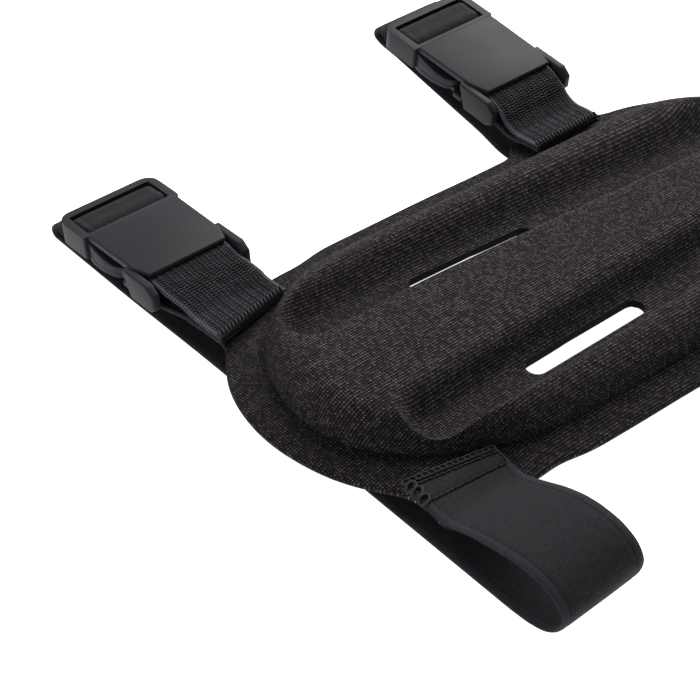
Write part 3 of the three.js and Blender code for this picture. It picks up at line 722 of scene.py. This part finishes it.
def thread_piece(name, runs):
    """Lengths of sewing thread, each a line of points and a radius, as round tubes in one mesh."""
    points, faces = [], []
    for line, radius in runs:
        line = np.asarray(line, float)
        ahead = np.gradient(line, axis=0)
        ahead /= np.linalg.norm(ahead, axis=1)[:, None]
        side = np.cross(ahead, OFF_THREAD)
        side /= np.linalg.norm(side, axis=1)[:, None]
        rise = np.cross(side, ahead)
        base = len(points)
        for k, middle in enumerate(line):
            size = radius * (THREAD_TIP if k in (0, len(line) - 1) else 1)
            for angle in np.linspace(0, 2 * math.pi, THREAD_SIDES, endpoint=False):
                points.append(middle + size * (math.cos(angle) * side[k] + math.sin(angle) * rise[k]))
        for low in range(base, len(points) - THREAD_SIDES, THREAD_SIDES):
            high = low + THREAD_SIDES
            for j in range(THREAD_SIDES):
                following = (j + 1) % THREAD_SIDES
                faces.append([low + j, low + following, high + following, high + j])
        faces.append(list(range(base, base + THREAD_SIDES))[::-1])
        faces.append(list(range(len(points) - THREAD_SIDES, len(points))))
    piece = new_piece(name, np.array(points), faces)
    clean_faces(piece)
    return piece


def overcast_row(path, strap, slants):
    """Slanted threads side by side over the cut end of the tape."""
    runs = []
    turn = np.linspace(0, 1, 7)
    for k in range(int(2 * SEWN_HALF / OVERCAST_PITCH)):
        across = -SEWN_HALF + (k + 0.2 + 0.7 * turn) * OVERCAST_PITCH
        place = 0.1 + OVERCAST_REACH * turn
        lift = STRAP_THICKNESS / 2 + OVERCAST_RADIUS * (0.9 - 1.6 * (2 * turn - 1) ** 4)
        runs.append((on_band(path, strap, slants, place, across, lift), OVERCAST_RADIUS))
    return runs


def webbing_path(strap):
    layers = (WEBBING_UPPER, WEBBING_LOWER)
    outward, inward = ([(y + strap["outset"], z) for y, z in rows] for rows in layers)
    middle = (WEB_BAR_TOP + WEB_BAR_BOTTOM) / 2
    radius = (WEB_BAR_TOP - WEB_BAR_BOTTOM) / 2 + STRAP_GAP + STRAP_THICKNESS / 2
    centre = WEB_BAR_END + STRAP_GAP + STRAP_THICKNESS / 2 - radius
    rows = outward + arc_rows(centre, middle, radius, 90, -90, strap) + inward
    path = smooth_line([lifted(row, strap) for row in rows], WEBBING_STEP)
    path[:, 3] = strap["sway"] * ease(path[:, 0], SWAY_START, SWAY_END)
    return path


def dent(place, middle, width, depth):
    """A soft dent in a tape's face."""
    return -depth * np.exp(-(((place - middle) / width) ** 2))


def webbing_relief(along, across):
    """Ribs between the selvedges, a fine line along each selvedge, and the dent under the overcast thread."""
    body = 1 - ease(np.abs(across), WEBBING_SELVEDGE - SELVEDGE_TURN, WEBBING_SELVEDGE)
    ribs = RIB_HEIGHT * np.cos(2 * math.pi * along / RIB_PITCH) * body
    line = dent(np.abs(across), WEBBING_SELVEDGE, width=0.25, depth=0.1)
    return ribs + line + dent(along, 1.4, width=1.3, depth=0.1)


webbing_cloth = cloth_material(
    "ribbed_webbing", dark=(0.0015, 0.0015, 0.002), light=(0.128, 0.128, 0.149), pitch=(1.19, RIB_PITCH),
    slant=0.35, stagger=0.5, relief=0.22, roughness=0.75, contrast=(0.45, 0.45, 0.02), patch=0.004,
    edge=(WEBBING_SELVEDGE, 0.8),
)
thread_black = cloth_material(
    "sewing_thread", dark=(0.012, 0.012, 0.014), light=(0.075, 0.075, 0.085), pitch=(0.2, 0.2), slant=0,
    stagger=0, relief=0.02, roughness=0.6, contrast=(0.0, 0.0, 0.9), patch=0.002,
)

for strap in STRAPS:
    path = webbing_path(strap)
    slants = (strap["slant"], strap["slant"])
    webbing = tape(f"{strap['name']}_webbing_tape", path, strap, slants, webbing_relief)
    dress(webbing, webbing_cloth, degrees=60, node=f"{strap['name']}_webbing")
    stitches = thread_piece(f"{strap['name']}_webbing_stitches", overcast_row(path, strap, slants))
    dress(stitches, thread_black, degrees=60)

# Buckle socket: one moulding in dark grey satin plastic. Two plates leave a mouth for the plug, two ears at
# the webbing end hold the bar that the webbing is folded round, and the sides stay open for the plug's lugs.
# The top plate thins to a lip over the webbing.
PLATE_THICKNESS, PLATE_ROUND = 1.9, 0.5
# outlines: places across and along the buckle, or along and up for the lip and the ears
PLATE_SIDES = [(12.1, 0), (13.9, 6), (14.3, 27.3)]
LIP_RELIEF = [(-1, -1), (0.2, -1), (4, -1.95), (4, -3), (-1, -3)]
BUCKLE_DEPTH = 8.4
UNDER_PLATE_THICKNESS = 1.8
UNDER_PLATE_SIDES = [(13.9, 8.6), (13.9, 12), (12.2, 13.2), (12.2, 27.3)]
EAR_INNER, EAR_OUTER, EAR_ROUND = 13.2, 15.7, 0.6
BAR_ROUND, BAR_OVERLAP = 0.7, 0.5
CUT_ROUND = 0.05
# the window of the plug's frame; the buckle's sides lean so that it lies over the strap's middle
WINDOW_START, WINDOW_END = 28.9, 39.4
EAR_PROFILE = [(-5.8, -2.8), (-5.8, -6.9), (-3.6, -8.2), (5.6, -8.2), (8.6, -0.7), (-3, -0.7)]


def slab(outline, low, high, round_edge, upright=False):
    """A moulded plate: an outline in the buckle's own millimetres, extruded from low to high, with rounded
    edges. It lies flat, or stands upright along the buckle."""
    bpy.ops.object.select_all(action="DESELECT")
    bpy.ops.mesh.primitive_circle_add(vertices=len(outline), radius=MM, fill_type="NGON")
    piece = bpy.context.object
    for vertex, (first, second) in zip(piece.data.vertices, outline):
        place = (low, first, second) if upright else (first, second, low)
        vertex.co = [MM * value for value in place]
    thickness = (high - low) * MM
    bpy.ops.object.mode_set(mode="EDIT")
    bpy.ops.mesh.select_all(action="SELECT")
    bpy.ops.mesh.extrude_region_move(
        TRANSFORM_OT_translate={"value": (thickness, 0, 0) if upright else (0, 0, thickness)},
    )
    bpy.ops.mesh.select_all(action="SELECT")
    bpy.ops.mesh.normals_make_consistent(inside=False)
    bpy.ops.object.mode_set(mode="OBJECT")
    rounding = piece.modifiers.new("rounded_edges", "BEVEL")
    rounding.width = round_edge * MM
    rounding.segments = 3
    rounding.limit_method = "NONE"
    bpy.ops.object.modifier_apply(modifier=rounding.name)
    return piece


def both_sides(rows):
    return list(rows) + [(-across, along) for across, along in reversed(rows)]


def rounded_box(half, start, end, corner_start, corner_end):
    """Outline of a box across and along the buckle, with round corners."""
    outline = []
    corners = [(start + corner_start, corner_start, -90), (end - corner_end, corner_end, 0)]
    for middle, corner, first in corners:
        for angle in np.radians(np.linspace(first, first + 90, 6)):
            outline.append((half - corner + corner * math.cos(angle), middle + corner * math.sin(angle)))
    return both_sides(outline)


def seat_on_strap(body, strap):
    """Moves a buckle half from its own frame to its place on the strap; its sides lean back to the middle."""
    start = MM * (LIFT_START + strap["outset"])
    leaning = Matrix.Identity(4)
    leaning[0][1] = -strap["sway"] / ((WINDOW_START + WINDOW_END) / 2)
    place = (MM * (strap["x"] + strap["sway"]), MM * (BUCKLE_Y + strap["outset"]) - start, MM * BUCKLE_TOP)
    tilted = Matrix.Translation(place) @ Matrix.Rotation(-BUCKLE_TILT, 4, "X") @ leaning
    turned_up = Matrix.Rotation(math.radians(strap["lift"]), 4, "X") @ tilted
    body.data.transform(Matrix.Translation((0, start + PAD_MIDDLE_Y * MM, 0)) @ turned_up)
    body.data.update()


plastic = bpy.data.materials.new("satin_plastic")
plastic.use_nodes = True
tree = plastic.node_tree
shader = tree.nodes["Principled BSDF"]
place = tree.nodes.new("ShaderNodeTexCoord")
wear = tree.nodes.new("ShaderNodeGroup")
wear.node_tree = HANDLING
wear.inputs["Patch Size"].default_value = 0.012
grain = tree.nodes.new("ShaderNodeTexNoise")
grain.inputs["Scale"].default_value = 5200
grain.inputs["Detail"].default_value = 1
tree.links.new(place.outputs["Object"], grain.inputs["Vector"])
colour = blend_colours(tree, wear.outputs["Patch"], (0.022, 0.0222, 0.0266), (0.029, 0.0293, 0.035))
tree.links.new(colour, shader.inputs["Base Color"])
rough = calc(tree, "MULTIPLY_ADD", wear.outputs["Patch"], 0.15, 0.45)
tree.links.new(rough, shader.inputs["Roughness"])
bump = tree.nodes.new("ShaderNodeBump")
bump.inputs["Strength"].default_value = 0.5
bump.inputs["Distance"].default_value = 0.03 * MM
tree.links.new(grain.outputs["Fac"], bump.inputs["Height"])
tree.links.new(bump.outputs["Normal"], shader.inputs["Normal"])
shader.inputs["Specular IOR Level"].default_value = 0.12

for strap in STRAPS:
    socket = slab(both_sides(PLATE_SIDES), -PLATE_THICKNESS, 0, PLATE_ROUND)
    lip_cut = slab(LIP_RELIEF, -EAR_OUTER, EAR_OUTER, CUT_ROUND, upright=True)
    fuse(socket, [lip_cut], "DIFFERENCE")
    under_top = UNDER_PLATE_THICKNESS - BUCKLE_DEPTH
    under = slab(both_sides(UNDER_PLATE_SIDES), -BUCKLE_DEPTH, under_top, PLATE_ROUND)
    right_ear = slab(EAR_PROFILE, EAR_INNER, EAR_OUTER, EAR_ROUND, upright=True)
    left_ear = slab(EAR_PROFILE, -EAR_OUTER, -EAR_INNER, EAR_ROUND, upright=True)
    bar_half = EAR_INNER + BAR_OVERLAP
    bar_outline = both_sides([(bar_half, WEB_BAR_START), (bar_half, WEB_BAR_END)])
    web_bar = slab(bar_outline, WEB_BAR_BOTTOM, WEB_BAR_TOP, BAR_ROUND)
    fuse(socket, [right_ear, left_ear, under, web_bar])
    socket.name = f"{strap['name']}_socket_moulding"
    seat_on_strap(socket, strap)
    dress(socket, plastic, degrees=40, node=f"{strap['name']}_buckle_socket")

# Buckle plug: the other moulding of the same plastic. A frame with a flat cross bar takes the elastic, and
# two lugs with deep outer skirts reach between the socket's plates and show in its open sides.
FRAME_START, FRAME_END, FRAME_HALF, FRAME_CORNER = 27.6, 42.0, 15.5, 4.0
FRAME_UNDER, FRAME_TOP = -7.1, -0.6
FRAME_ROUND, FRAME_START_CORNER = 0.5, 0.6
WINDOW_HALF, WINDOW_CORNER, WINDOW_ROUND = 13.0, 0.6, 0.1
FRAME_BAR_START, FRAME_BAR_END, FRAME_BAR_UNDER, FRAME_BAR_TOP = 31.15, 37.0, -4.9, -3.0
LUG_UNDER, LUG_TOP = -6.3, -2.2
SKIRT_UNDER, SKIRT_TOP = -7.9, -6.0
LUG_ROUND = 0.4
LUG_TIP_DROP, LUG_FALL_START, LUG_FALL_END = 2.2, 26, 15
LUG_OUTLINE = [
    (9.2, 28.2), (14.2, 28.2), (14.9, 25), (14.8, 20), (13.9, 16), (12.6, 13.8), (11, 12.9), (9.2, 13.5),
]
SKIRT_OUTLINE = [(12.6, 28.2), (14.2, 28.2), (14.9, 25), (14.8, 20), (13.9, 16), (12.6, 14.3)]


def lug(side):
    """A lug and its skirt; the top falls away toward the tip."""
    arm_outline = [(side * across, along) for across, along in LUG_OUTLINE]
    arm = slab(arm_outline, LUG_UNDER, LUG_TOP, LUG_ROUND)
    skirt_outline = [(side * across, along) for across, along in SKIRT_OUTLINE]
    skirt = slab(skirt_outline, SKIRT_UNDER, SKIRT_TOP, LUG_ROUND)
    for vertex in arm.data.vertices:
        share = (vertex.co.z / MM - LUG_UNDER) / (LUG_TOP - LUG_UNDER)
        fall = float(ease(-vertex.co.y / MM, -LUG_FALL_START, -LUG_FALL_END))
        vertex.co.z -= LUG_TIP_DROP * MM * share * fall
    return fuse(arm, [skirt])


for strap in STRAPS:
    outside = rounded_box(FRAME_HALF, FRAME_START, FRAME_END, FRAME_START_CORNER, FRAME_CORNER)
    plug = slab(outside, FRAME_UNDER, FRAME_TOP, FRAME_ROUND)
    opening = rounded_box(WINDOW_HALF, WINDOW_START, WINDOW_END, WINDOW_CORNER, WINDOW_CORNER)
    fuse(plug, [slab(opening, FRAME_UNDER - 2, FRAME_TOP + 2, WINDOW_ROUND)], "DIFFERENCE")
    bar_half = WINDOW_HALF + BAR_OVERLAP
    bar_outline = both_sides([(bar_half, FRAME_BAR_START), (bar_half, FRAME_BAR_END)])
    cross_bar = slab(bar_outline, FRAME_BAR_UNDER, FRAME_BAR_TOP, FRAME_ROUND)
    fuse(plug, [cross_bar, lug(1), lug(-1)])
    plug.name = f"{strap['name']}_plug_moulding"
    seat_on_strap(plug, strap)
    dress(plug, plastic, degrees=40, node=f"{strap['name']}_buckle_plug")

# Elastic: fine-ribbed black tape, 25 mm wide. One end is sewn to the tab on the other side of the pad; from
# there it bows out, turns back under the pad along the table and is threaded through the plug's frame. The
# sewn end has rows of thread, and one corner is whipped over the edge. The inner face gets painted light.
GROUND_STEP = 9.0
# distance from the pad's middle, height, rise of the edge toward the far end, share of the side shift
ELASTIC_LOOP = [
    (33.6, 9.4, 0, 1), (38, 8.75, 0, 1), (42, 8, 0, 1), (46, 7.7, 0, 1), (49.5, 8.7, 0.1, 1),
    (54, 10.5, 0.3, 1), (60, 12.6, 0.9, 1), (66, 14.1, 1.2, 1), (72, 14.6, 1.2, 1), (77.5, 13.8, 1.2, 1),
    (81.6, 11.7, 1.1, 1), (83.7, 8.4, 0.9, 0.9), (83, 4.9, 0.7, 0.6), (80.2, 2.1, 0.4, 0.2),
    (76, 0.8, 0.1, -0.2), (71, 0.55, 0, -0.5),
]
END_FOLD_Y = 106.7
END_FOLD_RADIUS = 1.75
WRAP_FOOT, WRAP_CREST, WRAP_SQUARENESS = -4.3, -1.2, 0.35
WRAP_CLEARANCE, TURN_CLEARANCE = 0.25, 0.2
TAIL_LENGTH = 8.0
ELASTIC_STEP = 0.4
ELASTIC_SELVEDGE = 10.3
# shares of the side drift: along the table, where it grows over a stretch, under the frame and at its window
DRIFT_TABLE, DRIFT_FRAME, DRIFT_WINDOW = 0.5, 0.6, 0.2
DRIFT_START, DRIFT_END = 35.0, 80.0
# sewing: places by length from the sewn end or across the tape, on the outer face
OUTER_FACE = -1
THREAD_RADIUS, STITCH_LENGTH, STITCH_SHARE, STITCH_WOBBLE = 0.2, 1.6, 0.88, 0.1
STITCH_ARCH = np.array([-0.5, 0.5, 0.9, 0.9, 0.5, -0.5])
STITCH_LIFT = OUTER_FACE * (STRAP_THICKNESS / 2 + STITCH_ARCH * THREAD_RADIUS)
CHAIN_PLACE = 0.9
SEAM_PLACES, SEAM_FIRST, SEAM_LAST = (2.4, 7.0), -11.4, 11.8
EDGE_SEAM_ACROSS, EDGE_STITCH, EDGE_PITCH = 11.6, 1.1, 1.3
WHIP_EDGE, WHIP_INSET, WHIP_RADIUS = -1, 0.9, 0.36
# length from the sewn end, half length and half width of a whipped loop, and its lean
WHIP_LOOPS = [(2.6, 1.5, 0.9, 0.5), (4.4, 1.8, 1.0, 0.7), (6.3, 1.6, 0.9, 0.4)]


def elastic_path(strap):
    """Middle line of the elastic: loop, run along the table, fold, and turn over the bar of the frame."""
    half = STRAP_THICKNESS / 2
    outset, shift = strap["loop_outset"], strap["loop_shift"]
    loop = [(-y - outset, z, lean, share * shift) for y, z, lean, share in ELASTIC_LOOP]
    first, last = loop[-1][0], END_FOLD_Y + strap["outset"]
    steps = round((last - first) / GROUND_STEP)
    ground = []
    for k in range(1, steps):
        y = first + (last - first) * k / steps
        grown = float(ease(y, DRIFT_START, DRIFT_END))
        drift = strap["drift"] * (DRIFT_TABLE + (1 - DRIFT_TABLE) * grown)
        ground.append((y, half, 0.0, drift))
    fold = []
    for angle in np.radians(np.linspace(-90, 90, 7)):
        y = last + END_FOLD_RADIUS * math.cos(angle)
        fold.append((y, half + END_FOLD_RADIUS * (1 + math.sin(angle)), 0.0, strap["drift"]))
    under = FRAME_UNDER - STRAP_GAP - half
    outer = WINDOW_END - half - WRAP_CLEARANCE
    inner = (FRAME_BAR_START + WINDOW_START) / 2
    wrap = []
    for angle in np.radians(np.linspace(0, 180, 7)):
        across = math.copysign(abs(math.cos(angle)) ** WRAP_SQUARENESS, math.cos(angle))
        rise = max(math.sin(angle), 0) ** WRAP_SQUARENESS
        along = (outer + inner) / 2 + across * (outer - inner) / 2
        wrap.append(buckle_row(along, WRAP_FOOT + rise * (WRAP_CREST - WRAP_FOOT), strap))
    tail = -BUCKLE_DEPTH - STRAP_GAP - half
    threaded = [
        buckle_row(FRAME_END, under, strap, 0.0, DRIFT_FRAME * strap["drift"]),
        buckle_row(WINDOW_END - TURN_CLEARANCE, under, strap, 0.0, DRIFT_WINDOW * strap["drift"]),
        buckle_row(outer, FRAME_UNDER + half, strap),
        *wrap,
        buckle_row(inner, FRAME_UNDER + half, strap),
        buckle_row(FRAME_START + half, tail + half, strap),
        buckle_row(FRAME_START - TAIL_LENGTH / 2, tail, strap),
        buckle_row(FRAME_START - TAIL_LENGTH, tail, strap),
    ]
    path = smooth_line([lifted(row, strap) for row in loop + ground + fold + threaded], ELASTIC_STEP)
    path[:, 1] = np.maximum(path[:, 1], half)
    return path


def elastic_relief(along, across):
    """A fine line along each selvedge, and the dents under the seams."""
    line = dent(np.abs(across), ELASTIC_SELVEDGE, width=0.3, depth=0.12)
    return line + (dent(along, 2.2, width=1.0, depth=0.15) + dent(along, 7.0, width=0.7, depth=0.2))


def stitch_row(path, strap, slants, along):
    """Stitches across the tape at one distance from its end; each dips into the cloth at both ends."""
    runs = []
    width, points = SEAM_LAST - SEAM_FIRST, len(STITCH_LIFT)
    count = round(width / STITCH_LENGTH)
    for k in range(count):
        left = SEAM_FIRST + width * k / count
        across = np.linspace(left, left + STITCH_SHARE * width / count, points)
        tilt = along + STITCH_WOBBLE * np.linspace(-1, 1, points) * (1 if k % 2 else -1)
        runs.append((on_band(path, strap, slants, tilt, across, STITCH_LIFT), THREAD_RADIUS))
    return runs


def chain_row(path, strap, slants):
    """A chain of thread loops along the cut end; each loop lies over the end of the one before."""
    runs = []
    turn = np.linspace(-0.25, 2 * math.pi - 0.25, 12)
    for k in range(int(2 * SEWN_HALF / STITCH_LENGTH)):
        middle = -SEWN_HALF + (k + 0.5) * STITCH_LENGTH
        across = middle + 0.62 * STITCH_LENGTH * np.cos(turn)
        place = CHAIN_PLACE + 0.42 * STITCH_LENGTH * np.sin(turn)
        lift = OUTER_FACE * (STRAP_THICKNESS / 2 + THREAD_RADIUS * (0.4 + 0.7 * np.cos(turn)))
        runs.append((on_band(path, strap, slants, place, across, lift), THREAD_RADIUS))
    return runs


def whipped_corner(path, strap, slants):
    """Thick slack loops of thread over one edge of the tape, between the sewn end and the last seam."""
    runs = []
    turn = np.linspace(0.15, 2 * math.pi - 0.15, 14)
    for along, long_half, wide_half, lean in WHIP_LOOPS:
        place = along + wide_half * np.sin(turn) + lean * np.cos(turn)
        across = WHIP_EDGE * (STRAP_HALF - WHIP_INSET + long_half * np.cos(turn))
        lift = OUTER_FACE * (STRAP_THICKNESS / 2 + 0.35 - 0.5 * np.maximum(np.cos(turn), 0))
        runs.append((on_band(path, strap, slants, place, across, lift), WHIP_RADIUS))
    return runs


def edge_seam(path, strap, slants):
    """Stitches along one edge of the sewn end, up to the last seam."""
    runs = []
    across = np.full(len(STITCH_LIFT), EDGE_SEAM_ACROSS)
    for start in np.arange(0.6, SEAM_PLACES[-1] - 1, EDGE_PITCH):
        along = np.linspace(start, start + EDGE_STITCH, len(across))
        runs.append((on_band(path, strap, slants, along, across, STITCH_LIFT), THREAD_RADIUS))
    return runs


# the elastic's inner face gets painted light
elastic_cloth = cloth_material(
    "fine_rib_elastic", dark=(0.006, 0.0059, 0.007), light=(0.094, 0.0915, 0.11), pitch=(0.5, 0.4),
    slant=0, stagger=0.5, relief=0.05, roughness=0.75, contrast=(0.36, 0.22, 0.06), patch=0.003,
    painted_inner_light=2.6, edge=(ELASTIC_SELVEDGE, 0.2),
)

for strap in STRAPS:
    path = elastic_path(strap)
    slants = (-strap["slant"], 0.0)
    elastic = tape(f"{strap['name']}_elastic_tape", path, strap, slants, elastic_relief)
    dress(elastic, elastic_cloth, degrees=60, node=f"{strap['name']}_elastic")
    runs = chain_row(path, strap, slants)
    for along in SEAM_PLACES:
        runs += stitch_row(path, strap, slants, along)
    runs += whipped_corner(path, strap, slants)
    runs += edge_seam(path, strap, slants)
    stitches = thread_piece(f"{strap['name']}_elastic_stitches", runs)
    dress(stitches, thread_black, degrees=60)
